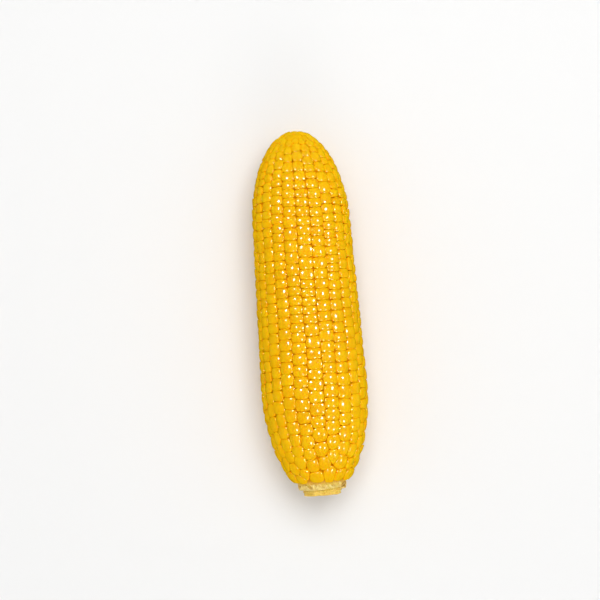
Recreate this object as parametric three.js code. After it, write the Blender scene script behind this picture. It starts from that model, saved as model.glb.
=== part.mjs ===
// A shucked ear of sweet corn, lying on its side with its tip towards +Y.
// It is one piece as grown: a short cut shank, then the cob under its kernels, which sit in rows
// from the butt to the tip. Rows and kernels are a little uneven, as they grow.
import * as THREE from "three";

// Driving dimensions, in millimetres. Radii are taken over the tops of the kernels.
const SHANK_RADIUS = 8.5;
const SHANK_LENGTH = 4; // cut face to the collar
const COLLAR_RADIUS = 11;
const COLLAR_LENGTH = 2; // collar to the first kernels
const BUTT_RADIUS = 13.3; // at the first kernels
const BUTT_LENGTH = 44; // first kernels to the widest place, on part of an ellipse
const WIDEST_RADIUS = 25;
const BODY_LENGTH = 75; // widest place to the shoulder, which is a plain taper
const SHOULDER_RADIUS = 23.1;
const TIP_LENGTH = 45; // shoulder to the very tip, half an ellipse
const TIP_CAP_RADIUS = 7; // the last kernels end here, round a small blunt point

const ROWS = 22;
const FIRST_SEAM = THREE.MathUtils.degToRad(-6.3); // from straight up, so one row lies on top
const ROW_WAVE = 0.3; // how far a row strays to either side
const ROW_WAVELENGTH = 64;

const BUTT_PITCH = 5.4; // kernel thickness along its row, near the butt
const BODY_PITCH = 4.75;
const TIP_PITCH = 3;
const BUTT_PITCH_REACH = 50; // how far the thicker kernels go, along the surface
const TIP_PITCH_REACH = 52; // how far back from the cap the kernels shrink
const PITCH_SPREAD = 0.16; // share by which one kernel differs from the next

const SEAM_DEPTH = 1.3; // from a kernel's top down to the seam round it
const EDGE_DEPTH = 0.35; // from a kernel's top down to the edge of its crown
const CROWN_SHARE = 0.66; // share of the kernel's width and thickness that its crown takes
const SAME_SEAM = 0.5; // seams of two rows that meet a line closer than this share one point

const WIDEST_AT = SHANK_LENGTH + COLLAR_LENGTH + BUTT_LENGTH;
const SHOULDER_AT = WIDEST_AT + BODY_LENGTH;
const TIP_AT = SHOULDER_AT + TIP_LENGTH;

// The outline over the kernels: x runs along the ear from the cut face, and y is the radius.
function outline() {
  const buttStart = Math.asin(BUTT_RADIUS / WIDEST_RADIUS);
  const buttEllipse = BUTT_LENGTH / Math.cos(buttStart);
  const capEnd = Math.asin(TIP_CAP_RADIUS / SHOULDER_RADIUS);
  const path = new THREE.CurvePath();
  path.add(
    new THREE.EllipseCurve(
      WIDEST_AT,
      0,
      buttEllipse,
      WIDEST_RADIUS,
      Math.PI - buttStart,
      Math.PI / 2,
      true,
    ),
  );
  path.add(
    new THREE.LineCurve(
      new THREE.Vector2(WIDEST_AT, WIDEST_RADIUS),
      new THREE.Vector2(SHOULDER_AT, SHOULDER_RADIUS),
    ),
  );
  path.add(
    new THREE.EllipseCurve(
      SHOULDER_AT,
      0,
      TIP_LENGTH,
      SHOULDER_RADIUS,
      Math.PI / 2,
      capEnd,
      true,
    ),
  );
  return path;
}

const profile = outline();
const PROFILE_LENGTH = profile.getLength();

// A number from 0 to 1 that looks random and is the same every time.
function chance(row, kernel) {
  const value = Math.sin(row * 12.9898 + kernel * 78.233) * 43758.5453;
  return value - Math.floor(value);
}

// The angle of the seam before a row. The rows are shifted a little round the underside, so that a
// seam lies straight down and the ear rests on the two rows beside it.
function seamAngle(row, arc) {
  const pitch = (2 * Math.PI) / ROWS;
  const even = (n) => FIRST_SEAM + n * pitch;
  const lowest = even(Math.round((Math.PI - FIRST_SEAM) / pitch));
  const share = (angle) => (1 - Math.cos(angle)) / 2;
  const shift = ((Math.PI - lowest) * share(even(row))) / share(lowest);
  const wave = Math.sin((2 * Math.PI * arc) / ROW_WAVELENGTH + 2 * Math.PI * chance(row % ROWS, 0));
  return even(row) + shift + (ROW_WAVE / WIDEST_RADIUS) * wave;
}

// A point at an angle from straight up, at a place along the profile, and so deep under it.
function under(arc, angle, depth) {
  const at = Math.min(1, arc / PROFILE_LENGTH);
  const point = profile.getPointAt(at);
  const along = profile.getTangentAt(at);
  const radius = point.y - along.x * depth;
  return [radius * Math.sin(angle), point.x + along.y * depth, radius * Math.cos(angle)];
}

function kernelPitch(arc) {
  const nearButt = 1 - THREE.MathUtils.smoothstep(arc, 0, BUTT_PITCH_REACH);
  const nearTip = THREE.MathUtils.smoothstep(arc, PROFILE_LENGTH - TIP_PITCH_REACH, PROFILE_LENGTH);
  return (
    BODY_PITCH + (BUTT_PITCH - BODY_PITCH) * nearButt + (TIP_PITCH - BODY_PITCH) * nearTip
  );
}

// Where the cross seams of a row lie, from the butt to the cap.
function crossSeams(row) {
  const seams = [0];
  let arc = kernelPitch(0) * (0.6 + 0.4 * chance(row, 1));
  for (let kernel = 2; arc < PROFILE_LENGTH - 0.7 * TIP_PITCH; kernel += 1) {
    seams.push(arc);
    arc += kernelPitch(arc) * (1 + PITCH_SPREAD * (2 * chance(row, kernel) - 1));
  }
  return [...seams, PROFILE_LENGTH];
}

// The points where the cross seams of the two rows beside a line meet it, each taken once.
function meetings(before, after) {
  const arcs = [...before, ...after].sort((a, b) => a - b);
  return arcs.filter((arc, i) => i === 0 || arc - arcs[i - 1] > SAME_SEAM);
}

const points = [];
const triangles = [];

function addPoint(point) {
  points.push(...point);
  return points.length / 3 - 1;
}

// Joins a chain of outer points to the inner edge that runs beside it from start to end.
function skirt(chain, start, end) {
  const turn = Math.floor(chain.length / 2);
  for (let i = 0; i + 1 < chain.length; i += 1) {
    triangles.push(chain[i], chain[i + 1], i < turn ? start : end);
  }
  triangles.push(chain[turn], end, start);
}

// One line between two rows, with its points in the seam.
function seamLine(row, before, after) {
  const arcs = meetings(before, after);
  const indices = arcs.map((arc) => addPoint(under(arc, seamAngle(row, arc), SEAM_DEPTH)));
  const nearest = (arc) => {
    const gaps = arcs.map((a) => Math.abs(a - arc));
    return gaps.indexOf(Math.min(...gaps));
  };
  return {
    indices,
    between: (from, to) => indices.slice(nearest(from), nearest(to) + 1),
  };
}

// One kernel between its four seams: a sloping skirt, and a crown raised to a point in the middle.
function addKernel(row, left, right, from, to) {
  const leftChain = left.between(from, to);
  const rightChain = right.between(from, to);
  const margin = (1 - CROWN_SHARE) / 2;
  const crownPoint = (across, along, depth) => {
    const arc = THREE.MathUtils.lerp(from, to, along);
    const angle = THREE.MathUtils.lerp(seamAngle(row, arc), seamAngle(row + 1, arc), across);
    return addPoint(under(arc, angle, depth));
  };
  const corners = [
    crownPoint(margin, margin, EDGE_DEPTH),
    crownPoint(1 - margin, margin, EDGE_DEPTH),
    crownPoint(1 - margin, 1 - margin, EDGE_DEPTH),
    crownPoint(margin, 1 - margin, EDGE_DEPTH),
  ];
  const top = crownPoint(0.5, 0.5, 0);
  const sides = [
    [leftChain[0], rightChain[0]],
    rightChain,
    [rightChain.at(-1), leftChain.at(-1)],
    [...leftChain].reverse(),
  ];
  sides.forEach((chain, side) => {
    const next = (side + 1) % corners.length;
    skirt(chain, corners[side], corners[next]);
    triangles.push(corners[side], corners[next], top);
  });
}

// The collar and the cut shank: rings of points that follow the lines between the rows.
function addShank(lines) {
  const rings = [
    [COLLAR_RADIUS, SHANK_LENGTH + COLLAR_LENGTH / 2],
    [SHANK_RADIUS, SHANK_LENGTH],
    [SHANK_RADIUS, 0],
  ];
  let ring = lines.map((line) => line.indices[0]);
  for (const [radius, at] of rings) {
    const next = lines.map((_, row) => {
      const angle = seamAngle(row, 0);
      return addPoint([radius * Math.sin(angle), at, radius * Math.cos(angle)]);
    });
    lines.forEach((_, row) => {
      const after = (row + 1) % ROWS;
      triangles.push(ring[after], ring[row], next[row], ring[after], next[row], next[after]);
    });
    ring = next;
  }
  const middle = addPoint([0, 0, 0]);
  lines.forEach((_, row) => triangles.push(ring[(row + 1) % ROWS], ring[row], middle));
}

function addCap(lines) {
  const tip = addPoint([0, TIP_AT, 0]);
  lines.forEach((line, row) => {
    triangles.push(line.indices.at(-1), lines[(row + 1) % ROWS].indices.at(-1), tip);
  });
}

function earGeometry() {
  const rows = Array.from({ length: ROWS }, (_, row) => crossSeams(row));
  const lines = rows.map((seams, row) => seamLine(row, rows.at(row - 1), seams));
  rows.forEach((seams, row) => {
    const right = lines[(row + 1) % ROWS];
    for (let i = 0; i + 1 < seams.length; i += 1) {
      addKernel(row, lines[row], right, seams[i], seams[i + 1]);
    }
  });
  addShank(lines);
  addCap(lines);
  return new THREE.BufferGeometry()
    .setAttribute("position", new THREE.Float32BufferAttribute(points, 3))
    .setIndex(triangles);
}

const kernels = new THREE.MeshStandardMaterial({ color: 0xf0b812, roughness: 0.35, metalness: 0 });
const ear = new THREE.Mesh(earGeometry(), kernels);
ear.name = "corn_ear";

// At rest the tapered body lies along the surface, on the two rows beside the lowest seam.
const cornCob = new THREE.Group();
const taper = (WIDEST_RADIUS - SHOULDER_RADIUS) / BODY_LENGTH;
cornCob.rotation.x = -Math.atan(taper * Math.cos(Math.PI / ROWS));
cornCob.add(ear);
const bounds = new THREE.Box3().setFromObject(cornCob, true);
const middle = bounds.getCenter(new THREE.Vector3());
cornCob.position.set(-middle.x, -middle.y, -bounds.min.z);

export default cornCob;
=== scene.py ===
import math
import random

import bpy
from mathutils import Matrix, Vector, noise
from mathutils.kdtree import KDTree


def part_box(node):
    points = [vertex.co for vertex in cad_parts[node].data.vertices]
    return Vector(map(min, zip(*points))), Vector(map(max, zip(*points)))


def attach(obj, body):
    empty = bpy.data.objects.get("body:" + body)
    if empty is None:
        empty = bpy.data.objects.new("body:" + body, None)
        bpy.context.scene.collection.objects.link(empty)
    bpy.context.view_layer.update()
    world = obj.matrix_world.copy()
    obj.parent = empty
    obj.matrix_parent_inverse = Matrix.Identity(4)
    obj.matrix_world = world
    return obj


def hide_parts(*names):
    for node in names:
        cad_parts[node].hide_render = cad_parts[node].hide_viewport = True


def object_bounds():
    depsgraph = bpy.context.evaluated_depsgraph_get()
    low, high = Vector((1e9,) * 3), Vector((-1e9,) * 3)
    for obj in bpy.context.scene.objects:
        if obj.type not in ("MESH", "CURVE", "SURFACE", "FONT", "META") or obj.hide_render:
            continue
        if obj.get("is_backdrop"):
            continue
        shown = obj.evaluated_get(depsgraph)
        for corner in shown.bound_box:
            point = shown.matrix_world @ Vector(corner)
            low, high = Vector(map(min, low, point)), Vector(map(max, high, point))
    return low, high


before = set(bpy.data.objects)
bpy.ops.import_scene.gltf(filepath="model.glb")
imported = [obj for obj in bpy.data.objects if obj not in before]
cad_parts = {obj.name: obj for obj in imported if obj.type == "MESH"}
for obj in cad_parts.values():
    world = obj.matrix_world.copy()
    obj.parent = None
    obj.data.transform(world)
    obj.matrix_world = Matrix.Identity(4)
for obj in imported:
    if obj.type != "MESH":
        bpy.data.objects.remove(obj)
cad_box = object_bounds()
bpy.ops.object.select_all(action="DESELECT")


# ------------------------------------------------------------------------------------------------
# The cob and its shank. A tapered woody body that the kernels grow on, hidden but for its ends.
# The shank was snapped and then trimmed flat with a knife, and the husk leaves left ragged scar
# rings on it. It lies on the two lowest rows of kernels, so its axis dips a little to the tip.

MM = 0.001
SHANK_RADIUS = 8.5 * MM
SHANK_LENGTH = 4 * MM
COLLAR_LENGTH = 2 * MM
BUTT_RADIUS = 13.3 * MM  # over the kernels, as are the radii below
BUTT_LENGTH = 44 * MM
WIDEST_RADIUS = 25 * MM
BODY_LENGTH = 75 * MM
SHOULDER_RADIUS = 23.1 * MM
TIP_LENGTH = 45 * MM
ROWS = 22

BUTT_AT = SHANK_LENGTH + COLLAR_LENGTH
WIDEST_AT = BUTT_AT + BUTT_LENGTH
SHOULDER_AT = WIDEST_AT + BODY_LENGTH
TIP_AT = SHOULDER_AT + TIP_LENGTH
BUTT_HALF = BUTT_LENGTH / math.sqrt(1 - (BUTT_RADIUS / WIDEST_RADIUS) ** 2)
TAPER = (WIDEST_RADIUS - SHOULDER_RADIUS) / BODY_LENGTH

KERNEL_ROOM = 2.0 * MM  # the cob's own surface lies this far under the tops of the kernels
COB_SIDES = 66
COB_STEP = 3 * MM
COB_END_RADIUS = 3.6 * MM  # over the kernels, where the cob narrows down to its bare nub
BARE_BUTT_TO = 7.5 * MM  # along the ear: from here on, kernels cover the cob
BARE_BUTT_FADE = 2 * MM
BARE_NUB_LENGTH = 1.7 * MM
BARE_NUB_FADE = 0.3 * MM
CUT_RADIUS = SHANK_RADIUS - 0.3 * MM  # the cut face, inside its trimmed edge
CUT_SETBACK = 0.3 * MM  # the soft pith dries back behind the rind
RIND = 0.7 * MM
RIND_SLOPE = 0.5 * MM  # from the rind down to the pith
PITH_BANDS = (1.5 * MM, 1.8 * MM, 1.8 * MM)
CUT_UNEVENNESS = 0.2 * MM
CUT_BUMPS = 260  # per metre, as are the two below
RIB_BUMPS = (700, 90, 700)
TEAR_BUMPS = 350
RIB_SHARE = 0.05  # how far ribs stand out round the shank, as a share of its radius
TEAR_SHARE = 0.03
TEAR_SHIFT = 0.3 * MM  # how far the torn rings wander along the shank
TEAR_FROM = 1.5 * MM  # they do so in full from here on, and less towards the cut
NEAR_AXIS = 0.1 * MM  # lengths are never taken as less than this in a division

low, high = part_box("corn_ear")
dip = math.atan(TAPER * math.cos(math.pi / ROWS))
lying = Matrix.Translation(
    (
        (low.x + high.x) / 2,
        low.y + SHANK_RADIUS * math.sin(dip),
        low.z + (WIDEST_RADIUS + WIDEST_AT * TAPER) * math.cos(math.pi / ROWS) * math.cos(dip),
    )
) @ Matrix.Rotation(-dip, 4, "X")


class Skin:
    """The surface over the kernels at the place nearest to a point, as seen from that place."""

    def __init__(self, point):
        turn = math.atan2(point.x, point.z)
        radius = math.hypot(point.x, point.z)
        if WIDEST_AT <= point.y <= SHOULDER_AT:
            at, radius = point.y, WIDEST_RADIUS - TAPER * (point.y - WIDEST_AT)
            rise, lean = 1 / math.hypot(1, TAPER), TAPER / math.hypot(1, TAPER)
            self.bend_along = 0.0
        else:
            middle, half, wide = WIDEST_AT, BUTT_HALF, WIDEST_RADIUS
            if point.y > SHOULDER_AT:
                middle, half, wide = SHOULDER_AT, TIP_LENGTH, SHOULDER_RADIUS
            angle = math.atan2(radius / wide, (point.y - middle) / half)
            at, radius = middle + half * math.cos(angle), wide * math.sin(angle)
            size = math.hypot(math.cos(angle) / half, math.sin(angle) / wide)
            rise, lean = math.sin(angle) / wide / size, math.cos(angle) / half / size
            stretch = math.hypot(half * math.sin(angle), wide * math.cos(angle))
            self.bend_along = half * wide / stretch**3
        self.at, self.radius = at, radius
        self.bend_around = rise / max(radius, NEAR_AXIS)
        self.place = Vector((radius * math.sin(turn), at, radius * math.cos(turn)))
        self.out = Vector((rise * math.sin(turn), lean, rise * math.cos(turn)))
        self.around = Vector((math.cos(turn), 0, -math.sin(turn)))
        self.along = Vector((-lean * math.sin(turn), rise, -lean * math.cos(turn)))

    def point(self, x, y, height):
        """A point x around and y along the ear from here, at a height over its curved surface."""
        bend_x, bend_y = self.bend_around * x, self.bend_along * y
        out = (self.out + bend_x * self.around + bend_y * self.along).normalized()
        sunk = (bend_x * x + bend_y * y) / 2
        return self.place + x * self.around + y * self.along - sunk * self.out + height * out


def walk(start, end_radius, step):
    """Places along the ear's outline from a start, one every step, until it is so narrow."""
    places = [Skin(start)]
    while places[-1].radius > end_radius or places[-1].at < WIDEST_AT:
        here = places[-1]
        places.append(Skin(here.place + step * here.along))
    return places


def place_piece(piece, slot, *nodes):
    """Lays a finished piece down with the ear, hangs it on the root body and hides the CAD parts
    it stands in for. The slot is not used.
    """
    piece.data.transform(lying)
    piece.data.update()
    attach(piece, "root")
    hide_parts(*nodes)


shank_rings = [  # along the ear and radius, in mm: trimmed edge, husk scars, then the collar
    (0.3, 8.5),
    (0.9, 8.4),
    (1.35, 8.35),
    (1.6, 8.75),
    (1.9, 8.8),
    (2.2, 8.5),
    (2.8, 8.6),
    (3.1, 9.2),
    (3.7, 9.3),
    (4.2, 9.9),
    (5.0, 10.5),
]
nub_rings = [  # back from the very tip and radius, in mm: the small bare point that the silk left
    (1.5, 2.3),
    (0.9, 2.0),
    (0.45, 1.3),
    (0.3, 0.5),
]
cob_rings = [(at * MM, radius * MM) for at, radius in shank_rings]
for skin in walk(Vector((0, BUTT_AT, BUTT_RADIUS)), COB_END_RADIUS, COB_STEP):
    under = skin.point(0, 0, -KERNEL_ROOM)
    if cob_rings[-1][0] < under.y < TIP_AT - nub_rings[0][0] * MM:
        cob_rings.append((under.y, under.z))
cob_rings += [(TIP_AT - back * MM, radius * MM) for back, radius in nub_rings]

bpy.ops.mesh.primitive_circle_add(
    vertices=COB_SIDES,
    radius=CUT_RADIUS,
    fill_type="NGON",
    rotation=(math.pi / 2, 0, 0),
)
cob = bpy.context.object
cob.name = "cob"
bpy.ops.object.transform_apply(rotation=True)
bpy.ops.object.mode_set(mode="EDIT")
bpy.ops.mesh.select_mode(type="FACE")
last_at, last_radius = 0, CUT_RADIUS
for at, radius in cob_rings:
    bpy.ops.mesh.extrude_region_move(TRANSFORM_OT_translate={"value": (0, at - last_at, 0)})
    bpy.ops.transform.resize(value=(radius / last_radius, 1, radius / last_radius))
    last_at, last_radius = at, radius
bpy.ops.mesh.select_all(action="SELECT")
bpy.ops.mesh.normals_make_consistent(inside=False)
bpy.ops.mesh.select_all(action="DESELECT")
bpy.ops.object.mode_set(mode="OBJECT")
cut = min(cob.data.polygons, key=lambda face: face.center.y)
cut.select = True
bpy.ops.object.mode_set(mode="EDIT")
bpy.ops.mesh.inset(thickness=RIND)
bpy.ops.mesh.inset(thickness=RIND_SLOPE)
bpy.ops.transform.translate(value=(0, CUT_SETBACK, 0))
for band in PITH_BANDS:
    bpy.ops.mesh.inset(thickness=band)
bpy.ops.mesh.poke()
bpy.ops.mesh.select_all(action="DESELECT")
bpy.ops.object.mode_set(mode="OBJECT")
out_from_pith, bareness = [], []
for vertex in cob.data.vertices:
    spot = vertex.co
    radius = math.hypot(spot.x, spot.z)
    out_from_pith.append(radius / SHANK_RADIUS)
    near_butt = (BARE_BUTT_TO - spot.y) / BARE_BUTT_FADE
    near_tip = (spot.y - TIP_AT + BARE_NUB_LENGTH) / BARE_NUB_FADE
    bareness.append(min(1.0, max(0.0, near_butt, near_tip)))
    if 0.1 * MM < spot.y < BUTT_AT and radius > 0.9 * SHANK_RADIUS:
        ribs = noise.noise(Vector([one * bumps for one, bumps in zip(spot, RIB_BUMPS)]))
        torn = noise.noise(spot * TEAR_BUMPS + Vector((0, 0, 9)))
        wider = 1 + RIB_SHARE * ribs + TEAR_SHARE * torn
        spot.x *= wider
        spot.z *= wider
        spot.y += TEAR_SHIFT * torn * min(1.0, spot.y / TEAR_FROM)
    elif spot.y <= CUT_SETBACK:
        spot.y += CUT_UNEVENNESS * noise.noise(spot * CUT_BUMPS)
for name, values in (("out_from_pith", out_from_pith), ("bareness", bareness)):
    cob.data.attributes.new(name, "FLOAT", "POINT").data.foreach_set("value", values)
bpy.ops.object.shade_smooth_by_angle(angle=math.radians(50))


def new_material(name):
    material = bpy.data.materials.new(name)
    material.use_nodes = True
    tree = material.node_tree
    return material, tree, tree.nodes["Principled BSDF"]


def add_node(tree, kind, links=None, **settings):
    """Adds a node with its settings. links says what feeds each input: a socket or a value."""
    node = tree.nodes.new(kind)
    for name, value in settings.items():
        setattr(node, name, value)
    for name, value in (links or {}).items():
        if isinstance(value, bpy.types.NodeSocket):
            tree.links.new(value, node.inputs[name])
        else:
            node.inputs[name].default_value = value
    return node


def add_ramp(tree, factor, *stops):
    ramp = add_node(tree, "ShaderNodeValToRGB", {"Fac": factor})
    elements = ramp.color_ramp.elements
    while len(elements) < len(stops):
        elements.new(0.5)
    for element, (at, colour) in zip(elements, stops):
        element.position = at
        element.color = (*colour, 1)
    return ramp.outputs["Color"]


def blend_colours(tree, factor, first, second, how="MIX"):
    node = add_node(tree, "ShaderNodeMix", data_type="RGBA", blend_type=how)
    sockets = (node.inputs[0], node.inputs[6], node.inputs[7])
    for socket, value in zip(sockets, (factor, first, second)):
        if isinstance(value, bpy.types.NodeSocket):
            tree.links.new(value, socket)
        elif socket.type == "RGBA":
            socket.default_value = (*value, 1)
        else:
            socket.default_value = value
    return node.outputs[2]


def plant_fibre():
    """A node group for the fine strands that run along a plant's stem and leaves."""
    group = bpy.data.node_groups.new("plant_fibre", "ShaderNodeTree")
    inputs = (("Place", "Vector"), ("Stretch", "Vector"), ("Fineness", "Float"))
    for name, kind in inputs:
        group.interface.new_socket(name, in_out="INPUT", socket_type=f"NodeSocket{kind}")
    group.interface.new_socket("Fibre", in_out="OUTPUT", socket_type="NodeSocketFloat")
    given = group.nodes.new("NodeGroupInput").outputs
    drawn_out = add_node(
        group, "ShaderNodeMapping", {"Vector": given["Place"], "Scale": given["Stretch"]}
    )
    strands = add_node(
        group,
        "ShaderNodeTexNoise",
        {"Vector": drawn_out.outputs["Vector"], "Scale": given["Fineness"], "Detail": 3},
    )
    result = group.nodes.new("NodeGroupOutput")
    group.links.new(strands.outputs["Fac"], result.inputs["Fibre"])
    return group


fibre_group = plant_fibre()
COB_STRETCH = (1, 0.07, 1)  # strands are drawn out along the ear

cob_material, tree, shader = new_material("cooked_cob")
spot = add_node(tree, "ShaderNodeTexCoord").outputs["Object"]
lengthwise = add_node(tree, "ShaderNodeMapping", {"Vector": spot, "Scale": COB_STRETCH})
out = add_node(tree, "ShaderNodeAttribute", attribute_name="out_from_pith").outputs["Fac"]
bare = add_node(tree, "ShaderNodeAttribute", attribute_name="bareness").outputs["Fac"]
from_pith = add_ramp(
    tree,
    out,
    (0.0, (0.97, 0.8, 0.36)),
    (0.6, (0.96, 0.76, 0.27)),
    (0.84, (0.9, 0.66, 0.17)),
    (0.9, (0.74, 0.48, 0.07)),
    (1.0, (0.88, 0.66, 0.16)),
)
bundle = add_node(
    tree,
    "ShaderNodeTexVoronoi",
    {"Vector": lengthwise.outputs["Vector"], "Scale": 950, "Randomness": 0.9},
)
bundles = add_ramp(
    tree, bundle.outputs["Distance"], (0.1, (0.74, 0.6, 0.4)), (0.26, (1, 1, 1))
)
strand = add_node(
    tree,
    "ShaderNodeGroup",
    node_tree=fibre_group,
    links={"Place": spot, "Stretch": COB_STRETCH, "Fineness": 1500},
)
streaks = add_ramp(
    tree, strand.outputs["Fibre"], (0.35, (0.88, 0.82, 0.68)), (0.65, (1.05, 1.05, 1.1))
)
stain = add_node(tree, "ShaderNodeTexNoise", {"Vector": spot, "Scale": 260, "Detail": 4})
stains = add_ramp(tree, stain.outputs["Fac"], (0.38, (0.92, 0.87, 0.72)), (0.6, (1, 1, 1)))
woody = blend_colours(tree, 1, from_pith, bundles, "MULTIPLY")
woody = blend_colours(tree, 1, woody, streaks, "MULTIPLY")
woody = blend_colours(tree, 1, woody, stains, "MULTIPLY")
# Where kernels cover it the cob is a deep orange: painted shade, so that gaps between kernels read
# as shaded kernel sides deep in a seam.
under_kernels_painted_shade = (0.7, 0.27, 0.002)
tree.links.new(blend_colours(tree, bare, under_kernels_painted_shade, woody), shader.inputs["Base Color"])
bump = add_node(
    tree,
    "ShaderNodeBump",
    {"Height": strand.outputs["Fibre"], "Strength": 0.7, "Distance": 0.25 * MM},
)
tree.links.new(bump.outputs["Normal"], shader.inputs["Normal"])
shader.inputs["Roughness"].default_value = 0.5
shader.inputs["Specular IOR Level"].default_value = 0.0
shader.inputs["Subsurface Weight"].default_value = 0.4
shader.inputs["Subsurface Radius"].default_value = (1.0, 0.6, 0.2)
shader.inputs["Subsurface Scale"].default_value = 1.2 * MM
cob.data.materials.append(cob_material)
place_piece(cob, "kernels", "corn_ear")


# ------------------------------------------------------------------------------------------------
# The husk stubs. Each husk leaf grew from a ring round the shank, and tearing it off left a short
# dry edge of it there. They are thin, ribbed and papery, and lap over each other.

STUB_SIDES = 120
STUB_TURN = math.radians(190)  # how far one stub reaches round the shank
STUB_FOOT = (2.9, 9.1)  # along the ear and radius, in mm, as are the rings below
stub_rings = [(3.3, 9.3), (3.9, 9.6), (4.6, 9.9), (5.3, 10.3), (6.0, 10.7)]
stub_places = [  # turned by, in degrees, then wider and further along, in mm
    (20, 0.0, 0.3),
    (150, 0.4, -0.5),
    (275, 0.2, -0.1),
]
STUB_LENGTH = stub_rings[-1][0] - STUB_FOOT[0]
STUB_SIDE = math.radians(35)  # a stub gets shorter over this much of its turn at either side
SHORTEST_SHARE = 0.12  # of the stub's length that tearing leaves
LONGEST_SHARE = 1.15
STUB_CURL = 0.7  # how far the torn edge curls in and out, in mm
STUB_THICKNESS = 0.22 * MM

bpy.ops.object.select_all(action="DESELECT")
bpy.ops.mesh.primitive_circle_add(
    vertices=STUB_SIDES,
    radius=STUB_FOOT[1] * MM,
    fill_type="NOTHING",
    location=(0, STUB_FOOT[0] * MM, 0),
    rotation=(math.pi / 2, 0, 0),
)
stub = bpy.context.object
bpy.ops.object.transform_apply(location=True, rotation=True)
bpy.ops.object.mode_set(mode="EDIT")
bpy.ops.mesh.select_mode(type="VERT")
bpy.ops.mesh.select_all(action="DESELECT")
bpy.ops.object.mode_set(mode="OBJECT")
for vertex in stub.data.vertices:
    vertex.select = abs(math.atan2(vertex.co.x, vertex.co.z)) > STUB_TURN / 2
bpy.ops.object.mode_set(mode="EDIT")
bpy.ops.mesh.delete(type="VERT")
bpy.ops.mesh.select_all(action="SELECT")
last_at, last_radius = STUB_FOOT
for at, radius in stub_rings:
    bpy.ops.mesh.extrude_edges_move(
        TRANSFORM_OT_translate={"value": (0, (at - last_at) * MM, 0)}
    )
    wider = radius / last_radius
    bpy.ops.transform.resize(value=(wider, 1, wider), center_override=(0, at * MM, 0))
    last_at, last_radius = at, radius
bpy.ops.mesh.select_all(action="SELECT")
bpy.ops.mesh.normals_make_consistent(inside=False)
bpy.ops.object.mode_set(mode="OBJECT")

husk_material, tree, shader = new_material("dry_husk")
spot = add_node(tree, "ShaderNodeTexCoord").outputs["Object"]
rib = add_node(
    tree,
    "ShaderNodeGroup",
    node_tree=fibre_group,
    links={"Place": spot, "Stretch": (1, 0.1, 1), "Fineness": 1100},
)
ribbed = add_ramp(
    tree, rib.outputs["Fibre"], (0.35, (0.76, 0.52, 0.12)), (0.65, (0.94, 0.77, 0.28))
)
tree.links.new(ribbed, shader.inputs["Base Color"])
bump = add_node(
    tree, "ShaderNodeBump", {"Height": rib.outputs["Fibre"], "Strength": 0.8, "Distance": 0.2 * MM}
)
tree.links.new(bump.outputs["Normal"], shader.inputs["Normal"])
shader.inputs["Roughness"].default_value = 0.6
shader.inputs["Specular IOR Level"].default_value = 0.1
stub.data.materials.append(husk_material)

for number, (degrees, wider, further) in enumerate(stub_places, 1):
    husk_stub = stub.copy()
    husk_stub.data = stub.data.copy()
    husk_stub.name = f"husk_stub_{number}"
    bpy.context.collection.objects.link(husk_stub)
    for vertex in husk_stub.data.vertices:
        spot = vertex.co
        turn = math.atan2(spot.x, spot.z)
        share = (spot.y / MM - STUB_FOOT[0]) / STUB_LENGTH
        broad = noise.noise(Vector((2.5 * turn, 0, 7.3 * number)))
        fine = noise.noise(Vector((17 * turn, 0, 3.1 * number)))
        side = min(1.0, (STUB_TURN / 2 - abs(turn)) / STUB_SIDE)
        torn = (0.72 + 0.8 * broad + 0.75 * fine) * (0.35 + 0.65 * side)
        torn = min(LONGEST_SHARE, max(SHORTEST_SHARE, torn))
        spot.y = (STUB_FOOT[0] + share * torn * STUB_LENGTH + further) * MM
        curl = noise.noise(Vector((5 * turn, 2 * share, 5.7 * number)))
        radius = math.hypot(spot.x, spot.z) + (wider + STUB_CURL * share * curl) * MM
        turn += math.radians(degrees)
        spot.x = radius * math.sin(turn)
        spot.z = radius * math.cos(turn)
    bpy.ops.object.select_all(action="DESELECT")
    husk_stub.select_set(True)
    bpy.context.view_layer.objects.active = husk_stub
    thick = husk_stub.modifiers.new("thick", "SOLIDIFY")
    thick.thickness = STUB_THICKNESS
    thick.offset = 0
    bpy.ops.object.modifier_apply(modifier="thick")
    bpy.ops.object.shade_smooth_by_angle(angle=math.radians(60))
    place_piece(husk_stub, "kernels", "corn_ear")
bpy.data.objects.remove(stub)


# ------------------------------------------------------------------------------------------------
# The kernels. Plump wedges with a glossy skin, pressed against each other in rows from the butt
# to the tip. The rows stray a little, their kernels drift in and out of step, and rows end where
# the ear gets too narrow for them. At the butt the kernels are bigger, rounder and less orderly.

FIRST_SEAM = math.radians(-6.3)
ROW_WAVE = 0.35 * MM
ROW_WAVELENGTH = 64 * MM
BUTT_PITCH = 6.2 * MM  # kernel thickness along its row
BODY_PITCH = 4.4 * MM
BODY_PITCH_FROM = 85 * MM
TIP_PITCH = 3.1 * MM
BARE_TIP_RADIUS = 2.6 * MM
UNEVEN_BUTT_TO = 14 * MM  # along the ear: kernels are at their least orderly up to here
EVEN_BODY_FROM = 62 * MM
STRAY = 0.32  # the room kernels stray in along their row, in pitches, as are the two below
END_STRAY = 0.25  # more than that at the ends
DRIFT = 1.7  # how far a row gets out of step with the others
DRIFT_ROUND = 2.2  # higher changes the step more often round the ear
DRIFT_LENGTH = 90 * MM
BODY_GAP = 3.3  # no two spots are chosen closer than this, in mm, as are the two below
BUTT_GAP_MORE = 1.2
TIP_GAP_LESS = 0.8
BUTT_GAP_TO = 32 * MM
FIRST_CHOICE_AT = 80 * MM  # spots are chosen from here outwards

rng = random.Random(7)


def soft_step(value, start, end):
    share = min(1.0, max(0.0, (value - start) / (end - start)))
    return share * share * (3 - 2 * share)


def kernel_pitch(at):
    pitch = BUTT_PITCH + (BODY_PITCH - BUTT_PITCH) * soft_step(at, BUTT_AT, BODY_PITCH_FROM)
    return pitch + (TIP_PITCH - BODY_PITCH) * soft_step(at, SHOULDER_AT - 5 * MM, TIP_AT)


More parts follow.
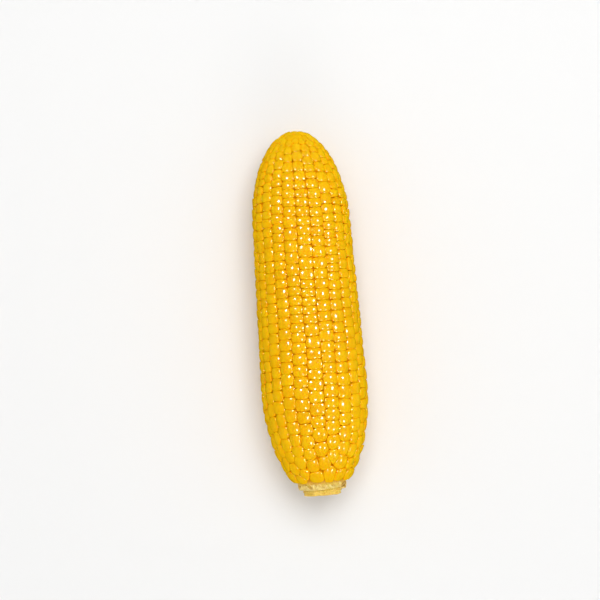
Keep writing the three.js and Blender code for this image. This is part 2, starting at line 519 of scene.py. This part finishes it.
def row_turn(row, at):
    """The angle of a row's middle from straight up. A seam lies straight down between two rows."""
    pitch = 2 * math.pi / ROWS
    middle = FIRST_SEAM + (row + 0.5) * pitch
    lowest = FIRST_SEAM + round((math.pi - FIRST_SEAM) / pitch) * pitch
    share = (1 - math.cos(middle)) / 2 / ((1 - math.cos(lowest)) / 2)
    wave = math.sin(2 * math.pi * (at / ROW_WAVELENGTH + row_phases[row]))
    return middle + (math.pi - lowest) * share + ROW_WAVE / WIDEST_RADIUS * wave


row_phases = [rng.random() for _ in range(ROWS)]
OUTLINE_STEP = 0.25 * MM
outline = walk(Vector((0, BUTT_AT, BUTT_RADIUS)), BARE_TIP_RADIUS, OUTLINE_STEP)


def endness(at):
    """0 along the body, where rows are orderly, up to 1 at the butt and the tip."""
    butt = 1 - soft_step(at, UNEVEN_BUTT_TO, EVEN_BODY_FROM)
    return max(butt, soft_step(at, SHOULDER_AT, TIP_AT))


def candidate_spots():
    """Where kernels would sit if every row ran the whole way, row by row."""
    reach = len(outline) * OUTLINE_STEP
    station = 0.5 * BUTT_PITCH
    while station < reach + TIP_PITCH:
        at = outline[min(len(outline) - 1, int(station / OUTLINE_STEP))].at
        pitch = kernel_pitch(at)
        for row in range(ROWS):
            turn = row_turn(row, at)
            round_x = DRIFT_ROUND * math.cos(turn)
            round_y = DRIFT_ROUND * math.sin(turn)
            drift = noise.noise(Vector((round_x, round_y, at / DRIFT_LENGTH)))
            stray = (STRAY + END_STRAY * endness(at)) * (rng.random() - 0.5)
            here = station + pitch * (DRIFT * drift + stray)
            step = int(here / OUTLINE_STEP)
            if 0 <= step < len(outline):
                at_step = outline[step]
                turn = row_turn(row, at_step.at)
                across = at_step.radius * math.sin(turn)
                yield Skin(Vector((across, at_step.at, at_step.radius * math.cos(turn))))
        station += pitch


def least_gap(at):
    near_butt = 1 - soft_step(at, BUTT_AT, BUTT_GAP_TO)
    near_tip = soft_step(at, SHOULDER_AT, TIP_AT)
    return (BODY_GAP + BUTT_GAP_MORE * near_butt - TIP_GAP_LESS * near_tip) * MM


spots = []
for spot in sorted(candidate_spots(), key=lambda skin: abs(skin.at - FIRST_CHOICE_AT)):
    if all((spot.place - other.place).length > least_gap(spot.at) for other in spots):
        spots.append(spot)

NEIGHBOUR_REACH = 11 * MM
LONGEST_HALF = 5 * MM
LONGEST_REACH = 0.95  # how far a kernel may reach along its row, in kernel pitches
EDGE_ROOM = 0.4 * MM  # how far the first and last kernels may pass the ends of the outline
SQUEEZE = 2.3  # over 1, the seams between rows run straighter
END_SQUEEZE_LESS = 1.2
SIZE_SPREAD = 0.022  # how far a big kernel pushes a seam, as a share of the gap to a small one
END_SPREAD_TIMES = 2  # so many times more at the ends
ROW_SPREAD_LESS = 0.7  # and less from row to row along the body
FULL_SPREAD_TO = 5 * MM
SETTLING_ROUNDS = 10
SETTLE_AROUND = 0.1  # share of the way to the middle of its room that a kernel moves each round
SETTLE_ALONG = 0.22
END_SETTLE_AROUND = 0.5  # more than that at the ends
END_SETTLE_ALONG = 0.32
weights = [rng.uniform(-1, 1) for _ in spots]


def seams_round(index, tree, spots):
    """The seams round a kernel, as (x, y) where x * across + y * along = 1 on the seam."""
    here = spots[index]
    end = endness(here.at)
    squeeze = SQUEEZE - END_SQUEEZE_LESS * end
    ahead = behind = LONGEST_REACH * kernel_pitch(here.at)
    if here.at < WIDEST_AT:
        behind = min(behind, (here.at - BUTT_AT) / here.along.y + EDGE_ROOM)
    if here.at > SHOULDER_AT:
        ahead = min(ahead, (here.radius - BARE_TIP_RADIUS) / here.out.y + EDGE_ROOM)
    seams = [(0, 1 / ahead), (0, -1 / behind), (1 / LONGEST_HALF, 0), (-1 / LONGEST_HALF, 0)]
    for _, other, distance in tree.find_range(here.place, NEIGHBOUR_REACH):
        if other == index:
            continue
        away = spots[other].place - here.place
        x, y = away.dot(here.around), away.dot(here.along)
        grow = distance / max(math.hypot(x, y), NEAR_AXIS)
        x, y = x * grow, y * grow
        size = squeeze * x * x + y * y
        sideways = x * x / max(x * x + y * y, 1e-12)
        bias = SIZE_SPREAD * (1 + END_SPREAD_TIMES * end) * (weights[index] - weights[other])
        bias *= 1 - ROW_SPREAD_LESS * (1 - end) * sideways
        room = size * (0.5 + bias * min(1.0, FULL_SPREAD_TO**2 / size))
        seams.append((squeeze * x / room, y / room))
    return seams


def cell_middle(seams):
    """The middle of the polygon inside the seams."""
    far = 2 * LONGEST_HALF
    corners = [(-far, -far), (far, -far), (far, far), (-far, far)]
    for a, b in seams:
        kept = []
        for (x0, y0), (x1, y1) in zip(corners, corners[1:] + corners[:1]):
            d0, d1 = 1 - a * x0 - b * y0, 1 - a * x1 - b * y1
            if d0 >= 0:
                kept.append((x0, y0))
            if d0 * d1 < 0:
                share = d0 / (d0 - d1)
                kept.append((x0 + share * (x1 - x0), y0 + share * (y1 - y0)))
        corners = kept
    area = x_sum = y_sum = 0
    for (x0, y0), (x1, y1) in zip(corners, corners[1:] + corners[:1]):
        cross = x0 * y1 - x1 * y0
        area += cross / 2
        x_sum += (x0 + x1) * cross / 6
        y_sum += (y0 + y1) * cross / 6
    return x_sum / area, y_sum / area


def neighbour_tree(spots):
    tree = KDTree(len(spots))
    for index, spot in enumerate(spots):
        tree.insert(spot.place, index)
    tree.balance()
    return tree


for _ in range(SETTLING_ROUNDS):
    tree = neighbour_tree(spots)
    moved = []
    for index, spot in enumerate(spots):
        x, y = cell_middle(seams_round(index, tree, spots))
        end = endness(spot.at)
        x *= SETTLE_AROUND + END_SETTLE_AROUND * end
        y *= SETTLE_ALONG + END_SETTLE_ALONG * end
        moved.append(Skin(spot.point(x, y, 0)))
    spots = moved

# One kernel as a blank: a square pillow from -1 to 1, its crown in 4 by 4 faces, then its
# shoulder, the line where it touches its neighbours, and its narrower foot. Each of these lies 1
# lower than the last, so that they can be told apart when the blank is fitted.
CROWN_EDGE = 0.82
SHOULDER_EDGE = 0.945
FOOT_EDGE = 0.8
bpy.ops.mesh.primitive_grid_add(x_subdivisions=4, y_subdivisions=4, size=2 * CROWN_EDGE)
blank = bpy.context.object
bpy.ops.object.mode_set(mode="EDIT")
bpy.ops.mesh.select_mode(type="EDGE")
bpy.ops.mesh.region_to_loop()
last_edge = CROWN_EDGE
for edge in (SHOULDER_EDGE, 1, FOOT_EDGE):
    bpy.ops.mesh.extrude_edges_move(TRANSFORM_OT_translate={"value": (0, 0, -1)})
    bpy.ops.transform.resize(value=(edge / last_edge, edge / last_edge, 1))
    last_edge = edge
bpy.ops.mesh.edge_face_add()
bpy.ops.mesh.select_all(action="SELECT")
bpy.ops.mesh.normals_make_consistent(inside=False)
bpy.ops.object.mode_set(mode="OBJECT")
blank_points = [tuple(vertex.co) for vertex in blank.data.vertices]
blank_faces = [tuple(face.vertices) for face in blank.data.polygons]
bpy.data.objects.remove(blank)

SEAM_SHARPNESS = 24  # higher follows the seams closer where they meet
ROUND_REACH = 0.985  # over 1, the rounding at the corners would hold kernels apart
FOOT_DEPTH = 4.2 * MM
FOOT_SEAM_DEPTH = 1.4  # 0 in the middle of a crown and 1 on the seam
FULL_SIZE_FROM = 3.4 * MM  # kernels narrower than this, to each side, have lower crowns
SCAR_AHEAD = 0.45  # the silk left its scar this share of the way from the middle to the tip side
CROWN_UNEVENNESS = 0.035 * MM


def kernel_points(index, tree):
    """The blank fitted between its seams: points, how near each is to the seam, and where it
    lies on the crown."""
    here = spots[index]
    end = endness(here.at)
    seams = seams_round(index, tree, spots)
    squareness = 5 - 0.9 * end

    def pull(x, y):
        """How far out (x, y) is: 1 on the seams."""
        pulls = [max(0.0, x * a + y * b) for a, b in seams]
        return sum(one**SEAM_SHARPNESS for one in pulls) ** (1 / SEAM_SHARPNESS)

    sides = [[1 / pull(-1, 0), 1 / pull(1, 0)], [1 / pull(0, -1), 1 / pull(0, 1)]]
    wide, long = sum(sides[0]) / 2, sum(sides[1]) / 2

    def reach(x, y):
        """How far the kernel reaches in a direction: to its seams, but round at its corners."""
        round_x, round_y = abs(x) / sides[0][x > 0], abs(y) / sides[1][y > 0]
        round_pull = (round_x**squareness + round_y**squareness) ** (1 / squareness)
        return 1 / max(pull(x, y), ROUND_REACH * round_pull)

    small = min(1.0, wide / FULL_SIZE_FROM)
    plump = rng.uniform(5, 7) - 1.5 * end
    relief_around = rng.uniform(0.22, 0.3) * MM * small
    relief_along = (rng.uniform(0.16, 0.22) + 0.04 * end) * MM * small
    dome_around = (rng.uniform(0.6, 0.8) + 0.05 * end) * MM * small
    dome_along = (rng.uniform(0.3, 0.44) + 0.1 * end) * MM * small
    lift = rng.uniform(-0.15, 0.0) * MM
    scar = rng.random()
    lean_around, lean_along = rng.gauss(0, 0.045), rng.gauss(0, 0.06)
    dent = max(0.0, rng.gauss(0.03, 0.09)) * MM  # some crowns have sunk a little in cooking
    points, depths, crown_places = [], [], []
    for bx, by, bz in blank_points:
        on_foot, on_crown = bz < -2.5, bz > -0.5
        share = min(1.0, max(abs(bx), abs(by)))
        x, y = bx * wide, by * long
        if share > 0:
            far = share * reach(x, y)
            x, y = far * x, far * y
        if on_foot:
            height = -FOOT_DEPTH
        else:
            across, ahead = (x / wide) ** 2, (y / long) ** 2
            sideways = across / max(across + ahead, 1e-9)
            relief = relief_along + (relief_around - relief_along) * sideways
            pillow = 1 - math.sqrt(max(0.0, 1 - share**plump))
            height = lift - relief * pillow - dome_around * across - dome_along * ahead
            height += lean_around * x + lean_along * y
            if on_crown:
                height += CROWN_UNEVENNESS * rng.gauss(0, 1) - dent * (1 - share * share)
        points.append(here.point(x, y, height))
        depths.append(FOOT_SEAM_DEPTH if on_foot else share)
        crown_places += [x / MM, (y - SCAR_AHEAD * long) / MM, scar]
    return points, depths, crown_places


tree = neighbour_tree(spots)
points, faces, depths, tints, crown_places = [], [], [], [], []
for index in range(len(spots)):
    fitted, depth, places = kernel_points(index, tree)
    faces += [tuple(corner + len(points) for corner in face) for face in blank_faces]
    points += fitted
    depths += depth
    crown_places += places
    tints += [0.8 * rng.random() + 0.2 * endness(spots[index].at)] * len(fitted)
mesh = bpy.data.meshes.new("kernels")
mesh.from_pydata(points, [], faces)
for name, values in (("seam_depth", depths), ("ripeness", tints)):
    mesh.attributes.new(name, "FLOAT", "POINT").data.foreach_set("value", values)
crown_place = mesh.attributes.new("crown_place", "FLOAT_VECTOR", "POINT")
crown_place.data.foreach_set("vector", crown_places)
kernels = bpy.data.objects.new("kernels", mesh)
bpy.context.collection.objects.link(kernels)
bpy.context.view_layer.objects.active = kernels
kernels.select_set(True)
bpy.ops.object.shade_smooth()

kernel_material, tree, shader = new_material("cooked_kernel")
spot = add_node(tree, "ShaderNodeTexCoord").outputs["Object"]
seam = add_node(tree, "ShaderNodeAttribute", attribute_name="seam_depth").outputs["Fac"]
ripe = add_node(tree, "ShaderNodeAttribute", attribute_name="ripeness").outputs["Fac"]
# Deeper orange towards the seams, as the sides of cooked kernels are, and redder there too:
# painted light that makes up for the shade falling in the seams.
seam_orange_and_painted_light = add_ramp(
    tree,
    seam,
    (0.0, (0.88, 0.49, 0.004)),
    (0.75, (0.9, 0.49, 0.003)),
    (0.95, (0.95, 0.48, 0.002)),
    (1.0, (0.97, 0.45, 0.001)),
)
by_kernel = add_ramp(
    tree, ripe, (0.0, (0.97, 0.94, 0.9)), (0.5, (1, 1, 1)), (1.0, (1, 1.05, 1.2))
)
tinted = blend_colours(tree, 1, seam_orange_and_painted_light, by_kernel, "MULTIPLY")
cloud = add_node(tree, "ShaderNodeTexNoise", {"Vector": spot, "Scale": 420, "Detail": 3})
clouds = add_ramp(
    tree, cloud.outputs["Fac"], (0.3, (0.95, 0.92, 0.8)), (0.7, (1.02, 1.05, 1.2))
)
clouded = blend_colours(tree, 1, tinted, clouds, "MULTIPLY")
crown = add_node(tree, "ShaderNodeAttribute", attribute_name="crown_place").outputs["Vector"]
parts = add_node(tree, "ShaderNodeSeparateXYZ", {"Vector": crown})
flat = add_node(
    tree, "ShaderNodeCombineXYZ", {"X": parts.outputs["X"], "Y": parts.outputs["Y"]}
)
off = add_node(tree, "ShaderNodeVectorMath", {0: flat.outputs["Vector"]}, operation="LENGTH")
near_scar = add_ramp(tree, off.outputs["Value"], (0.08, (1, 1, 1)), (0.3, (0, 0, 0)))
scar_strength = add_ramp(tree, parts.outputs["Z"], (0.45, (0, 0, 0)), (1.0, (0.55, 0.55, 0.55)))
scar = blend_colours(tree, 1, near_scar, scar_strength, "MULTIPLY")
scarred = blend_colours(tree, scar, clouded, (0.66, 0.27, 0.01))
tree.links.new(scarred, shader.inputs["Base Color"])
dimples = add_node(
    tree, "ShaderNodeTexNoise", {"Vector": spot, "Scale": 600, "Detail": 4, "Roughness": 0.55}
)
bump = add_node(
    tree,
    "ShaderNodeBump",
    {"Height": dimples.outputs["Fac"], "Strength": 0.16, "Distance": 0.25 * MM},
)
tree.links.new(bump.outputs["Normal"], shader.inputs["Normal"])
shader.inputs["Roughness"].default_value = 0.36
shader.inputs["Specular IOR Level"].default_value = 0.0
shader.inputs["Subsurface Weight"].default_value = 0.6
shader.inputs["Subsurface Radius"].default_value = (1.0, 0.55, 0.08)
shader.inputs["Subsurface Scale"].default_value = 1.3 * MM
shader.inputs["Coat Weight"].default_value = 0.62
shader.inputs["Coat IOR"].default_value = 1.35
shader.inputs["Coat Roughness"].default_value = 0.15
kernels.data.materials.append(kernel_material)
place_piece(kernels, "kernels", "corn_ear")


# ------------------------------------------------------------------------------------------------
# The floor, the light and the camera. A pale studio table under an even white sky, a broad soft
# lamp over the ear and a weaker one from its butt end, and four small lamps that only put glints
# on the kernels. The camera looks straight down.

TABLE_SIDE = 6
SKY_STRENGTH = 0.5
LAMP_DISTANCE = 1.3
SOFT_LAMP_SIDE = 0.8
GLINT_LAMP_SIDE = 0.12
glint_lamps = [  # leant over to the right and then towards the tip, in degrees, and watts
    (-28, 20, 28),
    (42, 8, 28),
    (0, -26, 13),
    (46, -32, 9),
]

bpy.ops.mesh.primitive_plane_add(size=TABLE_SIDE, location=(0, 0, 0))
table = bpy.context.object
table.name = "studio_table"
table_material, tree, shader = new_material("studio_table")
shader.inputs["Base Color"].default_value = (0.86, 0.86, 0.855, 1)
shader.inputs["Roughness"].default_value = 0.8
shader.inputs["Specular IOR Level"].default_value = 0.0
table.data.materials.append(table_material)
table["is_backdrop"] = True
table.visible_glossy = False

world = bpy.data.worlds.new("studio")
world.use_nodes = True
sky = world.node_tree.nodes["Background"]
sky.inputs["Color"].default_value = (1, 1, 1, 1)
sky.inputs["Strength"].default_value = SKY_STRENGTH
world.cycles_visibility.glossy = False
bpy.context.scene.world = world


def add_lamp(name, lean, tipward, side, watts):
    """A square lamp aimed at the table's middle, leant from straight up as glint_lamps says."""
    light = bpy.data.lights.new(name, "AREA")
    light.size = side
    light.energy = watts
    lamp = bpy.data.objects.new(name, light)
    lean, tipward = math.radians(lean), math.radians(tipward)
    toward = Vector((math.sin(lean), 0, math.cos(lean))) * math.cos(tipward)
    toward.y = math.sin(tipward)
    lamp.location = LAMP_DISTANCE * toward
    lamp.rotation_euler = (-toward).to_track_quat("-Z", "Y").to_euler()
    bpy.context.collection.objects.link(lamp)
    return lamp


soft_lamp = add_lamp("soft_lamp", 6, 16, SOFT_LAMP_SIDE, 10.6)
soft_lamp.visible_glossy = False
fill_lamp = add_lamp("fill_lamp", 8, -62, SOFT_LAMP_SIDE, 3.5)
fill_lamp.visible_glossy = False
for lean, tipward, watts in glint_lamps:
    glint_lamp = add_lamp("glint_lamp", lean, tipward, GLINT_LAMP_SIDE, watts)
    glint_lamp.visible_diffuse = False

CAMERA_HEIGHT = 1.1
VIEW_WIDTH = 278.82 * MM  # what the camera takes in at the height of the ear's axis
AIM_LEFT = 3.857 * MM  # of the ear's middle, as it lies in the view
AIM_UP = 5.809 * MM
ROLL = math.radians(-4.5)  # so that the tip leans to the left
camera = bpy.data.cameras.new("camera")
camera.lens = camera.sensor_width * CAMERA_HEIGHT / VIEW_WIDTH
camera_object = bpy.data.objects.new("camera", camera)
right = Vector((math.cos(ROLL), math.sin(ROLL), 0))
up = Vector((-math.sin(ROLL), math.cos(ROLL), 0))
middle = (low + high) / 2
aim = middle - AIM_LEFT * right + AIM_UP * up
camera_object.location = aim + Vector((0, 0, CAMERA_HEIGHT))
camera_object.rotation_euler = (0, 0, ROLL)
bpy.context.collection.objects.link(camera_object)
bpy.context.scene.camera = camera_object
bpy.context.scene.view_settings.view_transform = "Standard"

visual_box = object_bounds()
[[list(corner) for corner in box] for box in (cad_box, visual_box)]
